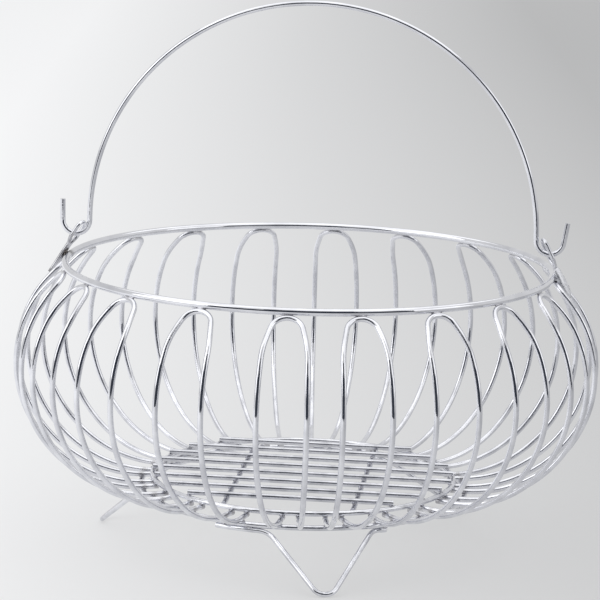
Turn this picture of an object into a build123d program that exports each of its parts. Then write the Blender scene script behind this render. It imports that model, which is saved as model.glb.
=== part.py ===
from build123d import *
import math
import os

# A hanging fruit basket welded from bright steel wire: a rim, twenty bent hairpins for the side, two base
# rings, a wire floor, three V-shaped feet, two ears on the rim and a bail that swings in them.
# Millimetres, +Z up. z = 0 is the floor under the feet, the origin is under the middle of the rim, and +X
# runs along the line through both ears, which is the bail's pivot line. The front is -Y.

os.makedirs("parts", exist_ok=True)

# Wire stock, as diameters
rim_wire = 4.0
side_wire = 3.0
base_wire = 3.0
floor_wire = 3.0
foot_wire = 2.8
ear_wire = 2.2
bail_wire = 3.0

# Fits: wires that are spot welded lie on each other, and the bail runs free in its ears
weld_gap = 0.02
eye_clearance = 0.8

# Rim
rim_radius = 135.0

# Side hairpins, from the weld on the rim down to the base. Angles are in degrees: the shoulder's, and those
# where the belly and the arch end, are leans from the vertical.
right_angle = 90.0
hairpin_count = 20
rim_weld_angle = 58.0
shoulder_angle = 44.5
shoulder_length = 8.0
belly_radius = 65.0
belly_end_angle = 20.0
lower_radius = 70.5
arch_radius = 8.6
arch_flare_angle = 16.0
arch_end_angle = 30.0
leg_half_gap = 5.2
leg_splay_angle = 6.35

# The hairpins are set by hand, so a few stand off their even spacing: place in the row, degrees
hand_set_angles = {0: 1.8, 1: -0.4, 2: -0.7, 3: -0.5, 17: -0.6, 18: -1.2, 19: 0.2}

# Base rings and floor
ring_step = 6.8
tail_overhang = 1.6
floor_count = 8
floor_edge_gap = 21.4
cross_edge_gap = 49.4
cross_clearance = 1.0

# Feet
foot_names = ["foot_front", "foot_right", "foot_left"]
foot_angles = [12.6, 134.0, -96.7]
foot_drop = 26.25
foot_reach = 117.0
foot_half_width = 28.0
foot_tip_radius = 7.0
foot_bend = 6.0
foot_long_tail = 24.0
foot_short_tail = 3.0

# Ears, set and cut by hand: the left one leans more, and is shorter above and below the rim
left_ear_angle = 32.0
right_ear_angle = 26.0
left_ear_length = 26.6
right_ear_length = 35.8
ear_twist_angle = 70.0
pivot_rise = 12.4
neck_length = 8.0
eye_below = 1.5
left_eye_rise = 4.0
right_eye_rise = 5.4

# Bail, with hooks that are bent by hand too: the right one opens outwards a little
hook_radius = 7.6
left_hook_angle = 0.5
right_hook_angle = 9.0
hook_tip = 11.6
bail_straight = 1.2


def sine(degrees):
    return math.sin(math.radians(degrees))


def cosine(degrees):
    return math.cos(math.radians(degrees))


# An upright plane through the middle of the basket: x is outwards, y is up and z is sideways
def radial_plane(azimuth):
    outward = (sine(azimuth), -cosine(azimuth), 0)
    sideways = (-cosine(azimuth), -sine(azimuth), 0)
    return Plane(origin=(0, 0, 0), x_dir=outward, z_dir=sideways)


# The plane across a wire at the start of its path
def cut_plane(path):
    whole = path.wire()
    return Plane(origin=whole @ 0, z_dir=whole % 0)


def save(part, name):
    part.label = name
    export_step(part, "parts/" + name + ".step")


# Heights stack up from the floor: feet, outer ring, leg tails, inner ring, floor wires
foot_tip_height = foot_wire / 2
foot_tail_height = foot_tip_height + foot_drop
outer_ring_height = foot_tail_height + foot_wire / 2 + base_wire / 2 + weld_gap
leg_tail_height = outer_ring_height + base_wire / 2 + side_wire / 2 + weld_gap
inner_ring_height = leg_tail_height + side_wire / 2 + base_wire / 2 + weld_gap
floor_height = inner_ring_height + base_wire / 2 + floor_wire / 2 + weld_gap
cross_height = floor_height - floor_wire - weld_gap

# The side's profile in the upright plane of one leg, from its level end at the base up to the rim.
# Each point is a distance outwards from where the leg turns level, and a height.
lower_end_out = lower_radius * cosine(belly_end_angle)
lower_end_up = lower_radius * (1 - sine(belly_end_angle))
belly_centre_out = lower_end_out - belly_radius * cosine(belly_end_angle)
belly_centre_up = lower_end_up + belly_radius * sine(belly_end_angle)
shoulder_out = belly_centre_out + belly_radius * cosine(shoulder_angle)
shoulder_up = belly_centre_up + belly_radius * sine(shoulder_angle)
side_top_out = shoulder_out - shoulder_length * sine(shoulder_angle)
side_top_up = shoulder_up + shoulder_length * cosine(shoulder_angle)

# Turn from the top of the arch to where it meets the legs
arch_turn = right_angle - arch_flare_angle

# The hairpin's top is welded to the rim, outside and below its middle
rim_weld_reach = rim_wire / 2 + side_wire / 2 + weld_gap
rim_height = leg_tail_height + side_top_up + rim_weld_reach * sine(rim_weld_angle)
top_radius = rim_radius + rim_weld_reach * cosine(rim_weld_angle)
level_radius = top_radius - side_top_out * cosine(leg_splay_angle)
outer_ring_radius = level_radius
inner_ring_radius = level_radius - ring_step


# A place on a leg, in its hairpin's radial plane
def leg_point(out, up, side):
    across = leg_half_gap + out * sine(leg_splay_angle)
    return (level_radius + out * cosine(leg_splay_angle), leg_tail_height + up, side * across)


def lower_point(lean, side):
    out = lower_radius * cosine(lean)
    up = lower_radius * (1 - sine(lean))
    return leg_point(out, up, side)


def belly_point(lean, side):
    out = belly_centre_out + belly_radius * cosine(lean)
    up = belly_centre_up + belly_radius * sine(lean)
    return leg_point(out, up, side)


# A place on the arch at the hairpin's top, which lies flat in the sloping plane of the shoulder
def arch_point(turn, side):
    down = arch_radius * (1 - cosine(turn))
    out = top_radius + down * sine(shoulder_angle)
    height = leg_tail_height + side_top_up - down * cosine(shoulder_angle)
    return (out, height, side * arch_radius * sine(turn))


# Rim
with BuildPart() as rim_ring:
    with BuildSketch(Plane.XZ):
        with Locations((rim_radius, rim_height)):
            Circle(rim_wire / 2)
    revolve(axis=Axis.Z)
save(rim_ring.part, "rim_ring")

# Side hairpins
for place in range(hairpin_count):
    azimuth = place * 360 / hairpin_count + hand_set_angles.get(place, 0)
    with BuildPart() as side_hairpin:
        with BuildLine(radial_plane(azimuth)) as hairpin_path:
            for side in (1, -1):
                tail_end = leg_point(-ring_step - tail_overhang, 0, side)
                tail = Line(tail_end, leg_point(0, 0, side))
                belly_end = belly_point(-belly_end_angle, side)
                ThreePointArc(tail @ 1, lower_point((right_angle + belly_end_angle) / 2, side), belly_end)
                arch_start = belly_point(arch_end_angle, side)
                ThreePointArc(belly_end, belly_point((arch_end_angle - belly_end_angle) / 2, side), arch_start)
                leg_rise = (-sine(arch_end_angle) * cosine(leg_splay_angle), cosine(arch_end_angle),
                            -side * sine(arch_end_angle) * sine(leg_splay_angle))
                arch_rise = (-cosine(arch_flare_angle) * sine(shoulder_angle),
                             cosine(arch_flare_angle) * cosine(shoulder_angle),
                             -side * sine(arch_flare_angle))
                Spline(arch_start, arch_point(arch_turn, side), tangents=(leg_rise, arch_rise))
            ThreePointArc(arch_point(arch_turn, 1), arch_point(0, 1), arch_point(arch_turn, -1))
        with BuildSketch(cut_plane(hairpin_path)):
            Circle(side_wire / 2)
        sweep()
    save(side_hairpin.part, f"side_hairpin_{place + 1:02d}")

# Base rings: the legs lie on the outer one, and the inner one lies on the leg ends
with BuildPart() as base_outer_ring:
    with BuildSketch(Plane.XZ):
        with Locations((outer_ring_radius, outer_ring_height)):
            Circle(base_wire / 2)
    revolve(axis=Axis.Z)
save(base_outer_ring.part, "base_outer_ring")

with BuildPart() as base_inner_ring:
    with BuildSketch(Plane.XZ):
        with Locations((inner_ring_radius, inner_ring_height)):
            Circle(base_wire / 2)
    revolve(axis=Axis.Z)
save(base_inner_ring.part, "base_inner_ring")

# Floor wires rest on the inner ring, and two cross wires under them keep their spacing
floor_pitch = 2 * (inner_ring_radius - floor_edge_gap) / (floor_count - 1)

for place in range(floor_count):
    floor_y = (place - (floor_count - 1) / 2) * floor_pitch
    half_length = math.sqrt(inner_ring_radius ** 2 - floor_y ** 2)
    with BuildPart() as floor_rod:
        with BuildSketch(Plane.YZ.offset(-half_length)):
            with Locations((floor_y, floor_height)):
                Circle(floor_wire / 2)
        extrude(amount=2 * half_length)
    save(floor_rod.part, f"floor_wire_{place + 1}")

cross_x = inner_ring_radius - cross_edge_gap
cross_reach = inner_ring_radius - base_wire / 2 - cross_clearance
cross_half_length = math.sqrt(cross_reach ** 2 - (cross_x + floor_wire / 2) ** 2)

for side, name in ((-1, "floor_cross_left"), (1, "floor_cross_right")):
    with BuildPart() as floor_cross:
        with BuildSketch(Plane.XZ.offset(-cross_half_length)):
            with Locations((side * cross_x, cross_height)):
                Circle(floor_wire / 2)
        extrude(amount=2 * cross_half_length)
    save(floor_cross.part, name)

# Feet: a V of wire that slants outwards, with its ends turned along the underside of the outer ring,
# a long way on one side and only a stub on the other
foot_angle = math.degrees(math.asin(foot_half_width / outer_ring_radius))
foot_top = outer_ring_radius * cosine(foot_angle)
foot_slant = math.degrees(math.atan2(foot_drop, foot_reach - foot_top))
foot_length = math.hypot(foot_drop, foot_reach - foot_top)
tip_centre = foot_length - foot_tip_radius
tangent_reach = math.hypot(foot_half_width, tip_centre)
arm_angle = math.degrees(math.acos(foot_tip_radius / tangent_reach) - math.atan2(tip_centre, foot_half_width))
bend_angle = math.degrees(foot_bend / outer_ring_radius)


# A place in the foot's slanted plane, given along the V from the ring and across it
def foot_point(along, across):
    return (foot_top + along * cosine(foot_slant), foot_tail_height - along * sine(foot_slant), across)


# A place under the outer ring
def ring_point(turn):
    return (outer_ring_radius * cosine(turn), foot_tail_height, outer_ring_radius * sine(turn))


for name, azimuth in zip(foot_names, foot_angles):
    with BuildPart() as foot:
        with BuildLine(radial_plane(azimuth)) as foot_path:
            tip_along = tip_centre + foot_tip_radius * sine(arm_angle)
            tip_across = foot_tip_radius * cosine(arm_angle)
            for side, tail_length in ((1, foot_long_tail), (-1, foot_short_tail)):
                bend_turn = side * (foot_angle + bend_angle)
                tail_turn = bend_turn + side * math.degrees(tail_length / outer_ring_radius)
                tail_middle = (tail_turn + bend_turn) / 2
                ThreePointArc(ring_point(tail_turn), ring_point(tail_middle), ring_point(bend_turn))
                bend_along = foot_bend * cosine(arm_angle)
                bend_across = side * (foot_half_width - foot_bend * sine(arm_angle))
                bend_end = foot_point(bend_along, bend_across)
                along_ring = (side * sine(bend_turn * side), 0, -side * cosine(bend_turn))
                along_arm = (cosine(arm_angle) * cosine(foot_slant), -cosine(arm_angle) * sine(foot_slant),
                             -side * sine(arm_angle))
                Spline(ring_point(bend_turn), bend_end, tangents=(along_ring, along_arm))
                Line(bend_end, foot_point(tip_along, side * tip_across))
            ThreePointArc(foot_point(tip_along, tip_across), foot_point(foot_length, 0),
                          foot_point(tip_along, -tip_across))
        with BuildSketch(cut_plane(foot_path)):
            Circle(foot_wire / 2)
        sweep()
    save(foot.part, name)

# Ears: thin hairpins that lean against the outside of the rim, each with a long eye above it.
# The pair of legs is twisted a little, and its nearer leg touches the rim.
ear_half_gap = ear_wire / 2 + weld_gap / 2
eye_half_gap = (bail_wire / 2 + ear_wire / 2 + eye_clearance) / sine(ear_twist_angle)
ear_reach = rim_wire / 2 + ear_wire / 2 + ear_half_gap * cosine(ear_twist_angle) + weld_gap
pivot_height = rim_height + pivot_rise


# How far from the middle of the basket an ear that leans this much holds the bail
def pivot_reach(lean):
    return rim_radius + ear_reach / cosine(lean) - pivot_rise * math.tan(math.radians(lean))


for side, name, lean, length, rise in ((-1, "ear_left", left_ear_angle, left_ear_length, left_eye_rise),
                                       (1, "ear_right", right_ear_angle, right_ear_length, right_eye_rise)):
    across_ear = Vector(side * cosine(ear_twist_angle) * cosine(lean), -sine(ear_twist_angle),
                        cosine(ear_twist_angle) * sine(lean))
    along_ear = Vector(-side * sine(lean), 0, cosine(lean))
    ear_plane = Plane(origin=(side * pivot_reach(lean), 0, pivot_height), x_dir=across_ear,
                      z_dir=across_ear.cross(along_ear))
    with BuildPart() as ear:
        with BuildLine(ear_plane) as ear_path:
            for edge in (1, -1):
                leg = Line((edge * ear_half_gap, -length), (edge * ear_half_gap, -neck_length))
                eye_start = (edge * eye_half_gap, -eye_below)
                Spline(leg @ 1, eye_start, tangents=(along_ear, along_ear))
                Line(eye_start, (edge * eye_half_gap, rise))
            ThreePointArc((eye_half_gap, rise), (0, rise + eye_half_gap), (-eye_half_gap, rise))
        with BuildSketch(cut_plane(ear_path)):
            Circle(ear_wire / 2)
        sweep()
    save(ear.part, name)

# Bail: an arch with a hook at each end, whose lowest point runs in the eye on the pivot line
bail_middle = (pivot_reach(right_ear_angle) - pivot_reach(left_ear_angle)) / 2
hook_x = (pivot_reach(right_ear_angle) + pivot_reach(left_ear_angle)) / 2
bail_radius = hook_x - hook_radius
hook_height = pivot_height + hook_radius
arch_height = hook_height + bail_straight

with BuildPart() as bail_handle:
    with BuildLine(Plane(origin=(bail_middle, 0, 0), x_dir=(1, 0, 0), z_dir=(0, -1, 0))) as bail_path:
        for side, lean in ((1, right_hook_angle), (-1, left_hook_angle)):
            arm = Line((side * bail_radius, arch_height), (side * bail_radius, hook_height))
            hook_end = (side * (hook_x + hook_radius * cosine(lean)), hook_height - hook_radius * sine(lean))
            ThreePointArc(arm @ 1, (side * hook_x, pivot_height), hook_end)
            tip_end = (hook_end[0] + side * hook_tip * sine(lean), hook_end[1] + hook_tip * cosine(lean))
            Line(hook_end, tip_end)
        arch_top = (0, arch_height + bail_radius)
        ThreePointArc((bail_radius, arch_height), arch_top, (-bail_radius, arch_height))
    with BuildSketch(cut_plane(bail_path)):
        Circle(bail_wire / 2)
    sweep()
save(bail_handle.part, "bail_handle")
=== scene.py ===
import math

import bmesh
import bpy
from mathutils import Matrix, Vector, noise


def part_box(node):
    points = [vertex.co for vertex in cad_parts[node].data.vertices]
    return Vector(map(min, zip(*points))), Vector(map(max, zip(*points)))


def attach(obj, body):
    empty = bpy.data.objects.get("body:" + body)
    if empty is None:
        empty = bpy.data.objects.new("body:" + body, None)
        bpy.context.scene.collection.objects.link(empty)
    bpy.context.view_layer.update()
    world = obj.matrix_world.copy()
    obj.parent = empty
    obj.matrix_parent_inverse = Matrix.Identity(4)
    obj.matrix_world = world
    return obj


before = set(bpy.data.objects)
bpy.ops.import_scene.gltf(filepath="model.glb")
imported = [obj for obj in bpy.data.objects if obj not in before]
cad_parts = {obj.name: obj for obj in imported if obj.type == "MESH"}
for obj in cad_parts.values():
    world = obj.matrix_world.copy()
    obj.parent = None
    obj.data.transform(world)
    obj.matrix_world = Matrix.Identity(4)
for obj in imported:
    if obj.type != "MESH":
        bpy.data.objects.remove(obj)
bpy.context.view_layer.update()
mm = 0.001
up = Vector((0, 0, 1))


# General helpers

def toLinear(hexColor):
    # sRGB hex to the linear colour that Blender's sockets hold
    channels = [int(hexColor[i:i + 2], 16) / 255 for i in (1, 3, 5)]
    linear = [c / 12.92 if c <= 0.04045 else ((c + 0.055) / 1.055) ** 2.4 for c in channels]
    return (*linear, 1.0)


def addNode(tree, kind, settings=None, links=None):
    # settings: a property or an input by name or number; links: input -> the output that feeds it
    node = tree.nodes.new(kind)
    for key, value in (settings or {}).items():
        if isinstance(key, int) or key in node.inputs:
            node.inputs[key].default_value = value
        else:
            setattr(node, key, value)
    for key, source in (links or {}).items():
        tree.links.new(source, node.inputs[key])
    return node


def newMaterial(name):
    material = bpy.data.materials.new(name)
    material.use_nodes = True
    material.node_tree.nodes.clear()
    return material, material.node_tree


def newObject(name, bm, material):
    mesh = bpy.data.meshes.new(name)
    bm.to_mesh(mesh)
    bm.free()
    piece = bpy.data.objects.new(name, mesh)
    bpy.context.scene.collection.objects.link(piece)
    mesh.materials.append(material)
    for face in mesh.polygons:
        face.use_smooth = True
    return piece


def dress(names, material):
    # gives carried-over CAD nodes their finish
    for name in names:
        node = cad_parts[name]
        node.data.materials.clear()
        node.data.materials.append(material)


def polar(radius, azimuth, height):
    # azimuth 0 is the front, and it grows towards the right
    return Vector((radius * math.sin(azimuth), -radius * math.cos(azimuth), height))


def alongRing(azimuth):
    # the direction in which a ring's wire runs there
    return Vector((math.cos(azimuth), math.sin(azimuth), 0))


# The basket's measures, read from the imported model

def ringMeasures(name):
    low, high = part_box(name)
    wire = high.z - low.z
    return {"wire": wire, "radius": (high.x - low.x - wire) / 2, "height": (high.z + low.z) / 2}


def nodeNames(start):
    return sorted(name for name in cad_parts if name.startswith(start))


def nodePoints(name):
    return [vertex.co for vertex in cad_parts[name].data.vertices]


def middleOf(points):
    return sum(points, Vector()) / len(points)


rim = ringMeasures("rim_ring")
outerRing = ringMeasures("base_outer_ring")
innerRing = ringMeasures("base_inner_ring")
hairpins = nodeNames("side_hairpin_")
floorWires = nodeNames("floor_wire_")
crossWires = nodeNames("floor_cross_")
feet = nodeNames("foot_")
rimEdge = rim["radius"] + rim["wire"] / 2
leftEarSpot = Vector((-rimEdge, 0, rim["height"]))
rightEarSpot = Vector((rimEdge, 0, rim["height"]))
print("measures read: rim radius", round(rim["radius"] / mm, 1), "mm")


# Chromed wire, used on every piece

plateLook = {
    "dullUpTo": 0.3, "brightFrom": 0.62,  # of the patch noise, which runs from 0 to 1
    "roughFrom": 0.35, "roughTo": 0.75,  # of the same noise
    "leastRough": 0.7, "mostRough": 1.6,  # shares of the wire's roughness
    "burnCore": 0.35,  # share of a burn's reach that is burnt all over
    "ragged": 1.5, "burnRoughness": 0.5,  # how far the edge of a burn breaks up, and how much rougher it is
    "rippleDepth": 0.1,  # share of a ripple's length
}


def spotMask(tree, coords, spot, reach):
    # 1 at the spot, falling to 0 a reach away from it
    distance = addNode(tree, "ShaderNodeVectorMath", {"operation": "DISTANCE", 1: spot}, {0: coords})
    return addNode(tree, "ShaderNodeMapRange", {"From Min": reach, "From Max": reach * plateLook["burnCore"]},
                   {"Value": distance.outputs["Value"]}).outputs["Result"]


def profileCoords(tree, coords):
    # distance from the middle of the basket, and height, for marks that go all round it
    parts = addNode(tree, "ShaderNodeSeparateXYZ", links={0: coords})
    flat = addNode(tree, "ShaderNodeCombineXYZ", links={"X": parts.outputs["X"], "Y": parts.outputs["Y"]})
    radius = addNode(tree, "ShaderNodeVectorMath", {"operation": "LENGTH"}, {0: flat.outputs[0]})
    return addNode(tree, "ShaderNodeCombineXYZ",
                   links={"X": radius.outputs["Value"], "Z": parts.outputs["Z"]}).outputs[0]


def chromedWire(name, look, burns=(), heatMarksAndShade=()):
    # Drawn steel wire, nickel-chrome plated: a cold, mirror-bright skin with a slight waviness from drawing,
    # faint dull patches from handling, and grey-brown scale where a weld has burnt the plating; at the
    # hairpins' rim weld that dark mark is also painted shade just under the rim
    material, tree = newMaterial(name)
    coords = addNode(tree, "ShaderNodeTexCoord").outputs["Object"]
    dulling = addNode(tree, "ShaderNodeTexNoise",
                      {"Scale": 1 / look["patchSize"], "Detail": 4.0, "Roughness": 0.6},
                      {"Vector": coords}).outputs["Fac"]
    plate = addNode(tree, "ShaderNodeValToRGB", links={"Fac": dulling})
    plate.color_ramp.elements[0].position = plateLook["dullUpTo"]
    plate.color_ramp.elements[0].color = toLinear(look["dullColor"])
    plate.color_ramp.elements[1].position = plateLook["brightFrom"]
    plate.color_ramp.elements[1].color = toLinear(look["color"])
    color = plate.outputs["Color"]
    rough = addNode(tree, "ShaderNodeMapRange",
                    {"From Min": plateLook["roughFrom"], "From Max": plateLook["roughTo"],
                     "To Min": look["roughness"] * plateLook["leastRough"],
                     "To Max": look["roughness"] * plateLook["mostRough"]},
                    {"Value": dulling}).outputs["Result"]

    around = profileCoords(tree, coords) if heatMarksAndShade else None
    masks = [spotMask(tree, coords, spot, reach) for spot, reach in burns]
    masks += [spotMask(tree, around, (radius, 0, height), reach) for radius, height, reach in heatMarksAndShade]
    if masks:
        scale = masks[0]
        for mask in masks[1:]:
            scale = addNode(tree, "ShaderNodeMath", {"operation": "MAXIMUM"}, {0: scale, 1: mask}).outputs[0]
        blotch = addNode(tree, "ShaderNodeTexNoise",
                         {"Scale": 1 / look["blotchSize"], "Detail": 6.0, "Roughness": 0.7},
                         {"Vector": coords}).outputs["Fac"]
        ragged = addNode(tree, "ShaderNodeMath", {"operation": "MULTIPLY_ADD", 1: plateLook["ragged"],
                         2: -plateLook["ragged"] / 2}, {0: blotch})
        burnt = addNode(tree, "ShaderNodeMath", {"operation": "ADD", "use_clamp": True},
                        {0: ragged.outputs[0], 1: scale})
        amount = addNode(tree, "ShaderNodeMath", {"operation": "MULTIPLY", "use_clamp": True},
                         {0: burnt.outputs[0], 1: scale}).outputs[0]
        amount = addNode(tree, "ShaderNodeMath", {"operation": "MULTIPLY", 1: look["burn"]},
                         {0: amount}).outputs[0]
        color = addNode(tree, "ShaderNodeMix", {"data_type": "RGBA", "B": toLinear(look["burnColor"])},
                        {"Factor": amount, "A": color}).outputs["Result"]
        rough = addNode(tree, "ShaderNodeMath", {"operation": "MULTIPLY_ADD", 1: plateLook["burnRoughness"]},
                        {0: amount, 2: rough}).outputs[0]

    ripple = addNode(tree, "ShaderNodeTexNoise", {"Scale": 1 / look["rippleSize"], "Detail": 2.0},
                     {"Vector": coords})
    bump = addNode(tree, "ShaderNodeBump",
                   {"Strength": look["ripple"], "Distance": look["rippleSize"] * plateLook["rippleDepth"]},
                   {"Height": ripple.outputs["Fac"]})
    shader = addNode(tree, "ShaderNodeBsdfPrincipled", {"Metallic": 1.0},
                     {"Base Color": color, "Roughness": rough, "Normal": bump.outputs["Normal"]})
    addNode(tree, "ShaderNodeOutputMaterial", links={"Surface": shader.outputs[0]})
    return material


wireLook = {
    "color": "#EDEEF3", "dullColor": "#D2D3D9",  # polished plate, and where handling has dulled it
    "roughness": 0.07, "patchSize": 14 * mm,
    "burnColor": "#6E6762", "burn": 0.4, "blotchSize": 1.6 * mm,  # scale left by spot welding
    "ripple": 0.10, "rippleSize": 3.0 * mm,
}


# Rim

rimLook = {
    **wireLook, "roughness": 0.06, "patchSize": 30 * mm,
    "burnColor": "#3A332E", "burn": 0.8, "earBurn": 8 * mm,  # reach of the burn at the left ear's weld
}
rimMaterial = chromedWire("chromedSteelRim", rimLook, burns=[(leftEarSpot, rimLook["earBurn"])])
dress(["rim_ring"], rimMaterial)
print("rim dressed")


# Side hairpins, each welded to the outer lower side of the rim and to both base rings

hairpinLook = {
    "rimWeldBelow": 58,  # degrees below the level of the rim's middle
    "rimMarkAndShade": 2.4 * mm, "outerMark": 3.2 * mm, "innerMark": 3.0 * mm,  # reach of the heat marks at the welds; the rim one is also painted shade under the rim
    "markRise": 2.8 * mm,  # from a base ring's middle to the middle of its marks
    "halfGap": 5.2 * mm,  # half the gap between the two legs, at the outer ring
    "splay": 6.35,  # degrees that each leg turns away from the line between them
}
weldOut = rim["wire"] / 2 * math.cos(math.radians(hairpinLook["rimWeldBelow"]))
weldDown = rim["wire"] / 2 * math.sin(math.radians(hairpinLook["rimWeldBelow"]))
rimWeldRadius = rim["radius"] + weldOut
rimWeldHeight = rim["height"] - weldDown
# heat marks at the welds; the one at the rim weld also paints the shade just under the rim
hairpinMaterial = chromedWire("chromedSteelHairpin", wireLook, heatMarksAndShade=[
    (rimWeldRadius, rimWeldHeight, hairpinLook["rimMarkAndShade"]),
    (outerRing["radius"], outerRing["height"] + hairpinLook["markRise"], hairpinLook["outerMark"]),
    (innerRing["radius"], innerRing["height"] - hairpinLook["markRise"], hairpinLook["innerMark"])])
dress(hairpins, hairpinMaterial)
print(len(hairpins), "hairpins dressed")


# Base rings and feet

baseLook = {**wireLook, "roughness": 0.08, "dullColor": "#BFC0C6"}
baseMaterial = chromedWire("chromedSteelBaseWire", baseLook)
dress(["base_outer_ring", "base_inner_ring"] + feet, baseMaterial)
print("base rings and feet dressed")


# Floor wires

floorWireLook = {
    **wireLook, "color": "#DCDDE3", "dullColor": "#B9BAC0",
    "roughness": 0.10, "patchSize": 9 * mm,
}
floorWireMaterial = chromedWire("chromedSteelFloorWire", floorWireLook)
dress(floorWires + crossWires, floorWireMaterial)
print(len(floorWires) + len(crossWires), "floor wires dressed")


# Ears: the left one is burnt at its weld and its cut ends, the right one dulled under a run of weld

leftEarLook = {
    **wireLook, "dullColor": "#8F8E92", "burnColor": "#3A332E", "burn": 0.75,
    "weldBurn": 5.5 * mm, "endBurn": 6.0 * mm,
    "endSlice": 1.5 * mm,  # the wire's ends are what lies this near its lowest point
}
rightEarLook = {
    **wireLook, "dullColor": "#C4C5CB", "roughness": 0.25, "burnColor": "#5A5350", "burn": 0.6,
    "burnSpot": (6.0, 0, -12), "burnReach": 2.0 * mm,  # millimetres from the rim's outer edge
}


def cutEnds(name, depth):
    # the middle between the two cut ends of an ear's wire
    points = nodePoints(name)
    bottom = min(p.z for p in points)
    return middleOf([p for p in points if p.z < bottom + depth])


leftEarMaterial = chromedWire("chromedSteelEarWireBurnt", leftEarLook, burns=[
    (leftEarSpot, leftEarLook["weldBurn"]),
    (cutEnds("ear_left", leftEarLook["endSlice"]), leftEarLook["endBurn"])])
dress(["ear_left"], leftEarMaterial)
rightEarMaterial = chromedWire("chromedSteelEarWireDulled", rightEarLook, burns=[
    (rightEarSpot + Vector(rightEarLook["burnSpot"]) * mm, rightEarLook["burnReach"])])
dress(["ear_right"], rightEarMaterial)
print("ears dressed")


# Bail

bailLook = {**wireLook, "roughness": 0.06, "patchSize": 25 * mm}
bailMaterial = chromedWire("chromedSteelBailWire", bailLook)
dress(["bail_handle"], bailMaterial)
print("bail dressed")


# Spot welds

nuggetLook = {
    "lumps": 0.28, "lumpPitch": 1.3, "grit": 0.1, "gritPitch": 4,  # share of the size, and waves per radius
    "seedStep": 3.7,  # from one nugget's noise to the next one's
    "topSlice": 0.4 * mm,  # a hairpin's top is what lies this near its highest point
}


def addNugget(bm, center, along, outward, size, seed):
    # a little metal squeezed out of the joint: drawn out along the wire and roughened
    sideways = along.cross(outward).normalized()
    turn = Matrix((along.normalized(), sideways, outward.normalized())).transposed()
    stretch = Vector(size) * mm
    for vert in bmesh.ops.create_icosphere(bm, subdivisions=3, radius=1.0)["verts"]:
        lumps = nuggetLook["lumps"] * noise.noise(vert.co * nuggetLook["lumpPitch"] + Vector((seed, 0, 0)))
        grit = nuggetLook["grit"] * noise.noise(vert.co * nuggetLook["gritPitch"] + Vector((0, seed, 0)))
        rough = 1 + lumps + grit
        vert.co = center + turn @ Vector([c * s * rough for c, s in zip(vert.co, stretch)])


def weldPiece(name, nuggets, material):
    # nuggets: center, direction along the wire, direction outwards, and size in millimetres
    bm = bmesh.new()
    for count, (center, along, outward, size) in enumerate(nuggets):
        addNugget(bm, center, along, outward, size, count * nuggetLook["seedStep"])
    piece = newObject(name, bm, material)
    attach(piece, "basket")
    return piece


def topAzimuth(name):
    points = nodePoints(name)
    top = max(p.z for p in points)
    middle = middleOf([p for p in points if p.z > top - nuggetLook["topSlice"]])
    return math.atan2(middle.x, -middle.y)


weldLook = {
    **wireLook, "color": "#CFCFD4", "dullColor": "#9A999D", "roughness": 0.24, "patchSize": 1.2 * mm,
    "ripple": 0.35, "rippleSize": 0.6 * mm,
}
weldMaterial = chromedWire("platedWeldMetal", weldLook)
azimuths = [topAzimuth(name) for name in hairpins]

rimWeldLook = {"size": (3.0, 0.9, 0.9)}
nuggets = []
for azimuth in azimuths:
    outward = polar(weldOut, azimuth, -weldDown).normalized()
    center = polar(rimWeldRadius, azimuth, rimWeldHeight)
    nuggets.append((center, alongRing(azimuth), outward, rimWeldLook["size"]))
weldPiece("rimWelds", nuggets, weldMaterial)

baseWeldLook = {"size": (1.7, 1.1, 0.55)}
splaySine = math.sin(math.radians(hairpinLook["splay"]))
nuggets = []
for azimuth in azimuths:
    sideways = alongRing(azimuth)
    for side in (-1, 1):
        for ring, top in ((outerRing, 1), (innerRing, -1)):
            legAside = hairpinLook["halfGap"] - (outerRing["radius"] - ring["radius"]) * splaySine
            reachOut = math.sqrt(ring["radius"] ** 2 - legAside ** 2)
            height = ring["height"] + top * ring["wire"] / 2
            center = polar(reachOut, azimuth, height) + side * legAside * sideways
            nuggets.append((center, sideways, up, baseWeldLook["size"]))
weldPiece("baseWelds", nuggets, weldMaterial)

floorWeldLook = {"size": (1.5, 1.2, 0.6), "inset": 0.6 * mm}  # inset from the ends of a floor wire
floorTop = innerRing["height"] + innerRing["wire"] / 2
nuggets = []
for name in floorWires:
    low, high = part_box(name)
    y = (low.y + high.y) / 2
    for x in (low.x + floorWeldLook["inset"], high.x - floorWeldLook["inset"]):
        along = Vector((y, -x, 0)).normalized()
        nuggets.append((Vector((x, y, floorTop)), along, up, floorWeldLook["size"]))
    for cross in crossWires:
        crossLow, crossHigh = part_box(cross)
        center = Vector(((crossLow.x + crossHigh.x) / 2, y, low.z))
        nuggets.append((center, Vector((0, 1, 0)), up, floorWeldLook["size"]))
weldPiece("floorWelds", nuggets, weldMaterial)

footWeldLook = {
    "size": (2.2, 1.3, 0.6),
    "turns": (-24.5, -33.5, 22.5),  # degrees along the ring, from the foot's tip
}
nuggets = []
for name in feet:
    tip = max(nodePoints(name), key=lambda p: math.hypot(p.x, p.y))
    for turn in footWeldLook["turns"]:
        azimuth = math.atan2(tip.x, -tip.y) + math.radians(turn)
        center = polar(outerRing["radius"], azimuth, outerRing["height"] - outerRing["wire"] / 2)
        nuggets.append((center, alongRing(azimuth), up, footWeldLook["size"]))
weldPiece("footWelds", nuggets, weldMaterial)

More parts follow.
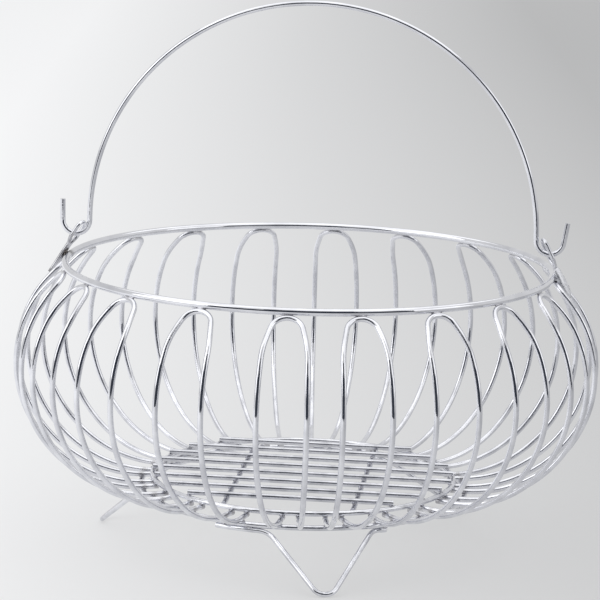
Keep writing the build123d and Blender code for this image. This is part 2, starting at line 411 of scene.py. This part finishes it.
leftEarWeldLook = {
    **weldLook, "color": "#8B8683", "dullColor": "#2E2927", "roughness": 0.4,
    "outward": (-1, 0, 0),
    "upper": (0, -0.6, 0.9), "upperSize": (2.6, 2.3, 1.0),  # millimetres from the rim's outer edge
    "lower": (0.4, 1.0, -1.5), "lowerSize": (1.8, 1.6, 0.8),
}
burntMaterial = chromedWire("burntWeldScale", leftEarWeldLook)
outward = Vector(leftEarWeldLook["outward"])
weldPiece("earWeldLeft", [
    (leftEarSpot + Vector(leftEarWeldLook["upper"]) * mm, up, outward, leftEarWeldLook["upperSize"]),
    (leftEarSpot + Vector(leftEarWeldLook["lower"]) * mm, up, outward, leftEarWeldLook["lowerSize"])],
    burntMaterial)

rightEarWeldLook = {
    **weldLook, "color": "#EDEEF2", "dullColor": "#C9CAD0", "roughness": 0.42,
    "burnColor": "#5A5350", "burn": 0.7, "blotchSize": 0.9 * mm,
    "burnSpot": (6.0, -2.5, -12), "burnReach": 2.2 * mm,
    "bead": (-0.4, -1.9, 1.0), "beadOutward": (0.7, -0.7, 0), "beadSize": (2.0, 1.6, 1.4),
    "run": (2.0, -1.8, 1.0), "runOutward": (0.75, -0.66, 0), "runSize": (9.5, 3.0, 1.6),
    "lean": 26, "runDown": 4.5,  # degrees that the ear leans, and millimetres down it to the run's middle
}
beadMaterial = chromedWire("platedWeldBead", rightEarWeldLook, burns=[
    (rightEarSpot + Vector(rightEarWeldLook["burnSpot"]) * mm, rightEarWeldLook["burnReach"])])
lean = math.radians(rightEarWeldLook["lean"])
downEar = Vector((math.sin(lean), 0, -math.cos(lean)))
runCenter = rightEarSpot + Vector(rightEarWeldLook["run"]) * mm + downEar * rightEarWeldLook["runDown"] * mm
weldPiece("earWeldRight", [
    (rightEarSpot + Vector(rightEarWeldLook["bead"]) * mm, up, Vector(rightEarWeldLook["beadOutward"]),
     rightEarWeldLook["beadSize"]),
    (runCenter, downEar, Vector(rightEarWeldLook["runOutward"]), rightEarWeldLook["runSize"])],
    beadMaterial)
print("spot welds built")


# Camera, at the angle of the photograph

cameraLook = {
    "distance": 1.66675, "azimuth": 6.0, "elevation": 10.164, "aimHeight": 0.15645,  # metres and degrees
    "lens": 180, "sensor": 36, "clipEnd": 50,
    "pan": 0.1500, "tilt": -0.66049, "roll": 1.58124,
}


def turned(degrees, axis):
    return Matrix.Rotation(math.radians(degrees), 4, axis)


camera = bpy.data.objects.new("camera", bpy.data.cameras.new("camera"))
bpy.context.scene.collection.objects.link(camera)
camera.data.lens = cameraLook["lens"]
camera.data.sensor_width = cameraLook["sensor"]
camera.data.clip_end = cameraLook["clipEnd"]
elevation = math.radians(cameraLook["elevation"])
cameraRadius = cameraLook["distance"] * math.cos(elevation)
cameraHeight = cameraLook["aimHeight"] + cameraLook["distance"] * math.sin(elevation)
cameraPlace = polar(cameraRadius, math.radians(cameraLook["azimuth"]), cameraHeight)
camera.matrix_world = (Matrix.Translation(cameraPlace)
                       @ turned(cameraLook["azimuth"], "Z") @ turned(90 - cameraLook["elevation"], "X")
                       @ turned(cameraLook["pan"], "Y") @ turned(cameraLook["tilt"], "X")
                       @ turned(cameraLook["roll"], "Z"))
bpy.context.scene.camera = camera
print("camera set")


# Floor

floorLook = {
    "fadeColors": ["#FAFAFA", "#DCDCDC", "#BEBEBE"],  # a pale floor, painted greyer from left to right as shade where the light falls off
    "fadeHalfWidth": 0.35, "fadeMiddle": 0.5,
    "roughness": 0.9, "specular": 0.1,
    "evenness": 0.65,  # share of its tone that doesn't depend on the light
    "size": 60.0, "skyFrom": 2.5, "skyAt": 9.0,  # metres over which it takes the sky's tone
}
skyColor = "#DCDCDC"


def seenDirectly(tree):
    # 1 for what the camera sees and the chrome mirrors, 0 for the light that falls on matt things
    path = addNode(tree, "ShaderNodeLightPath")
    return addNode(tree, "ShaderNodeMath", {"operation": "MAXIMUM"},
                   {0: path.outputs["Is Camera Ray"], 1: path.outputs["Is Glossy Ray"]}).outputs[0]


# Matt painted board, without gloss. Most of its tone doesn't depend on the light, so it stays pale,
# and the rest keeps the basket's shadow.
floorMatt, tree = newMaterial("matteStudioFloor")
coords = addNode(tree, "ShaderNodeTexCoord").outputs["Object"]
parts = addNode(tree, "ShaderNodeSeparateXYZ", links={0: coords})
# painted shade: the floor's tone greys from left to right, as if the light fell off
fade = addNode(tree, "ShaderNodeMapRange",
               {"From Min": -floorLook["fadeHalfWidth"], "From Max": floorLook["fadeHalfWidth"]},
               {"Value": parts.outputs["X"]}).outputs["Result"]
ramp = addNode(tree, "ShaderNodeValToRGB", links={"Fac": fade})
ramp.color_ramp.elements.new(floorLook["fadeMiddle"])
for element, color in zip(ramp.color_ramp.elements, floorLook["fadeColors"]):
    element.color = toLinear(color)
radius = addNode(tree, "ShaderNodeVectorMath", {"operation": "LENGTH"}, {0: coords}).outputs["Value"]
far = addNode(tree, "ShaderNodeMapRange",
              {"interpolation_type": "SMOOTHSTEP",
               "From Min": floorLook["skyFrom"], "From Max": floorLook["skyAt"]},
              {"Value": radius}).outputs["Result"]
floorColor = addNode(tree, "ShaderNodeMix", {"data_type": "RGBA", "B": toLinear(skyColor)},
                     {"Factor": far, "A": ramp.outputs["Color"]}).outputs["Result"]
matte = addNode(tree, "ShaderNodeBsdfPrincipled",
                {"Roughness": floorLook["roughness"], "Specular IOR Level": floorLook["specular"]},
                {"Base Color": floorColor})
backlit = addNode(tree, "ShaderNodeEmission", links={"Color": floorColor})
backlight = addNode(tree, "ShaderNodeMapRange",
                    {"To Min": floorLook["evenness"], "To Max": 1.0}, {"Value": far})
evenness = addNode(tree, "ShaderNodeMath", {"operation": "MULTIPLY"},
                   {0: backlight.outputs["Result"], 1: seenDirectly(tree)})
mixed = addNode(tree, "ShaderNodeMixShader",
                links={0: evenness.outputs[0], 1: matte.outputs[0], 2: backlit.outputs[0]})
addNode(tree, "ShaderNodeOutputMaterial", links={"Surface": mixed.outputs[0]})

half = floorLook["size"] / 2
corners = ((-half, -half, 0), (half, -half, 0), (half, half, 0), (-half, half, 0))
bm = bmesh.new()
bm.faces.new([bm.verts.new(corner) for corner in corners])
floorPlane = newObject("studioFloor", bm, floorMatt)
floorPlane.rotation_euler.z = math.radians(cameraLook["azimuth"])
print("floor laid")


# Flag: a dark sheet between the camera and the basket that only the chrome sees: a painted dark reflection.
# It draws the dark line down the middle of each wire, and does that only from the camera's side.

flagLook = {
    "color": "#3A3E47",
    "distance": 1.15, "height": 0.1,  # metres: from the basket's middle, and of its own middle over the floor
    "lowest": 2 * mm,  # clear of the floor
    "patches": [(-44, 46, -5, 27), (-20, 22, 27, 40)],  # degrees: aside from and to, then up from and to
    "steps": 8,
}
flagMatt, tree = newMaterial("blackFlagGlow")
# a fixed soft dark glow, not lit by the lamps, the same all over: seen only as a painted dark reflection
flagGlow = addNode(tree, "ShaderNodeEmission", {"Color": toLinear(flagLook["color"])})
addNode(tree, "ShaderNodeOutputMaterial", links={"Surface": flagGlow.outputs[0]})


def flagPoint(turn, rise):
    reach = flagLook["distance"] * math.cos(math.radians(rise))
    height = flagLook["height"] + flagLook["distance"] * math.sin(math.radians(rise))
    return polar(reach, math.radians(cameraLook["azimuth"] + turn), max(height, flagLook["lowest"]))


def between(low, high):
    steps = flagLook["steps"]
    return [low + (high - low) * step / steps for step in range(steps + 1)]


bm = bmesh.new()
for fromTurn, toTurn, fromRise, toRise in flagLook["patches"]:
    columns = [[bm.verts.new(flagPoint(turn, rise)) for rise in between(fromRise, toRise)]
               for turn in between(fromTurn, toTurn)]
    for left, right in zip(columns, columns[1:]):
        for k in range(flagLook["steps"]):
            bm.faces.new([left[k], right[k], right[k + 1], left[k + 1]])
flag = newObject("cameraFlag", bm, flagMatt)
flag.visible_camera = flag.visible_diffuse = flag.visible_shadow = flag.visible_transmission = False
print("flag hung")


# World and lamps

lightLook = {
    "softColor": "#F2F4F8", "softStrength": 0.88,  # the room's light on matt things
    "skyStrength": 1.0,
    "aimHeight": 0.12,
    "lamps": [  # name, place, size, watts
        ("overheadSoftbox", (0.0, 0.1, 1.6), 2.4, 10),
        ("leftSoftbox", (-1.5, -0.9, 1.1), 1.5, 7),
        ("rightFill", (1.6, -0.6, 0.9), 1.0, 2),
    ],
}
world = bpy.data.worlds.new("studio")
bpy.context.scene.world = world
world.use_nodes = True
tree = world.node_tree
tree.nodes.clear()
soft = addNode(tree, "ShaderNodeBackground",
               {"Color": toLinear(lightLook["softColor"]), "Strength": lightLook["softStrength"]})
sky = addNode(tree, "ShaderNodeBackground",
              {"Color": toLinear(skyColor), "Strength": lightLook["skyStrength"]})
room = addNode(tree, "ShaderNodeMixShader",
               links={0: seenDirectly(tree), 1: soft.outputs[0], 2: sky.outputs[0]})
addNode(tree, "ShaderNodeOutputWorld", links={"Surface": room.outputs[0]})

for name, place, size, watts in lightLook["lamps"]:
    lamp = bpy.data.lights.new(name, "AREA")
    lamp.energy = watts
    lamp.size = size
    holder = bpy.data.objects.new(name, lamp)
    bpy.context.scene.collection.objects.link(holder)
    holder.location = place
    aim = Vector((0, 0, lightLook["aimHeight"])) - Vector(place)
    holder.rotation_euler = aim.to_track_quat("-Z", "Y").to_euler()
bpy.context.scene.view_settings.view_transform = "Standard"
print("world and lamps set")
